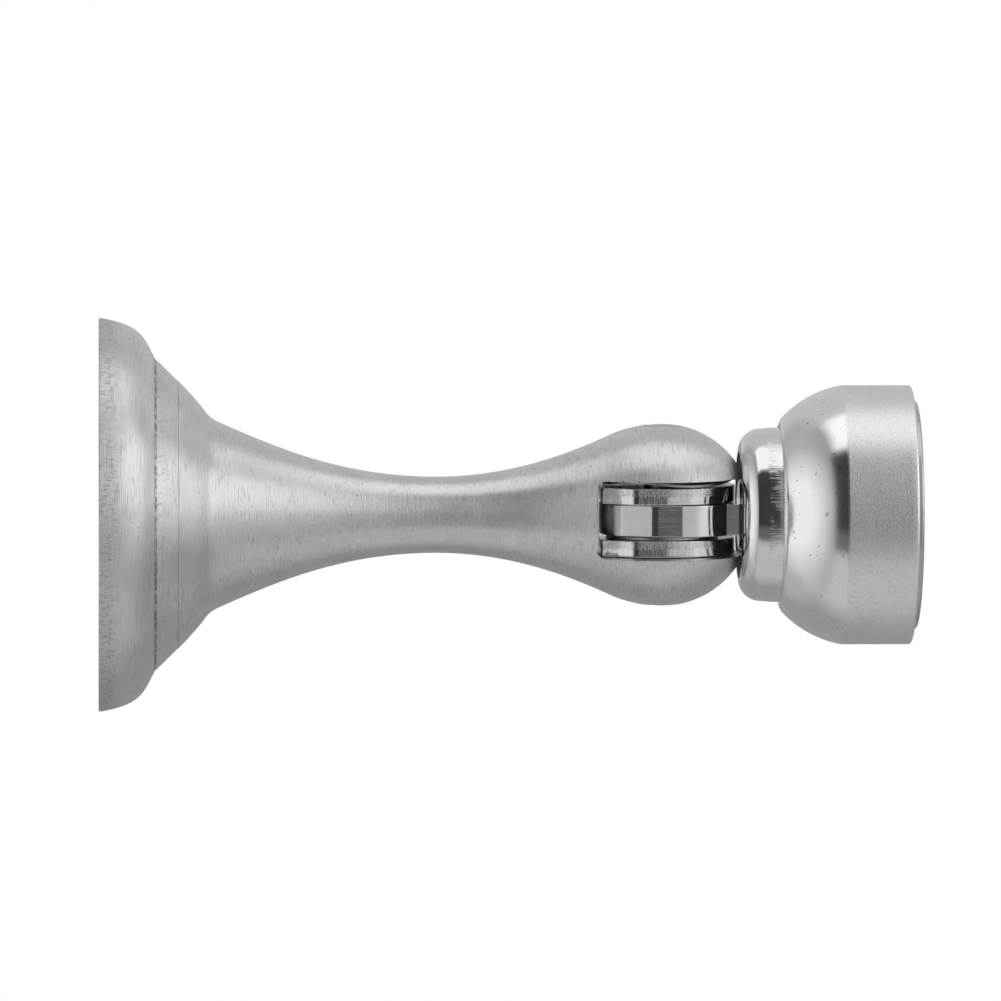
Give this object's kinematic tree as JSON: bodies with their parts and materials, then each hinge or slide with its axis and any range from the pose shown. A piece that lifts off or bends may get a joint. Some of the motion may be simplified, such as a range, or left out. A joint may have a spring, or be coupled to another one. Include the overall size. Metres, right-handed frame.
{
  "type": "magnetic floor door holder",
  "caption": "Floor or wall door holder: round base, waisted post and a hinged, sprung magnetic head that catches an open door.",
  "frame": {"origin": "on the floor at the centre of the base's underside", "axes": "+Z along the post, away from the floor; X along the pivot pin; the head stands in line with the post at rest"},
  "size_m": [0.0426, 0.0426, 0.0886],
  "materials": {
    "satin_nickel": "satin nickel, brushed around the axis",
    "pearl_nickel": "fine-grained pearl satin nickel",
    "polished_nickel": "mirror polished",
    "steel": "ground steel",
    "spring_steel": "spring steel, lightly oiled",
    "zinc_plate": "bright zinc plate",
    "magnet_nickel": "ground and nickel plated"
  },
  "bodies": {
    "base": {"mounting_plate": "zinc_plate", "mounting_stud": "steel", "base_flange": "satin_nickel", "post": "satin_nickel", "pivot_pin": "steel", "wave_washer": "spring_steel", "friction_disc_left": "polished_nickel", "friction_disc_right": "polished_nickel", "thrust_washer": "spring_steel"},
    "head": {"swivel_tongue": "polished_nickel", "collar": "polished_nickel", "lock_washer": "spring_steel", "collar_nut": "zinc_plate", "slide_stop_ring": "spring_steel", "buffer_spring": "spring_steel"},
    "cup": {"head_cup": "pearl_nickel", "thrust_plate": "zinc_plate", "retaining_ring": "spring_steel", "magnet_pot": "magnet_nickel", "ring_magnet": "magnet_nickel", "magnet_screw": "zinc_plate"}
  },
  "joints": [
    {"name": "head_pivot", "type": "hinge", "parent": "base", "child": "head", "pos_m": [0, 0, 0.061], "axis": [1, 0, 0], "range_deg": [-90, 90]},
    {"name": "buffer_slide", "type": "slide", "parent": "head", "child": "cup", "axis": [0, 0, 1], "range_m": [-0.0015, 0], "stiffness_N_per_m": 2500, "springref_m": 0.003, "deforming": ["buffer_spring"]}
  ]
}
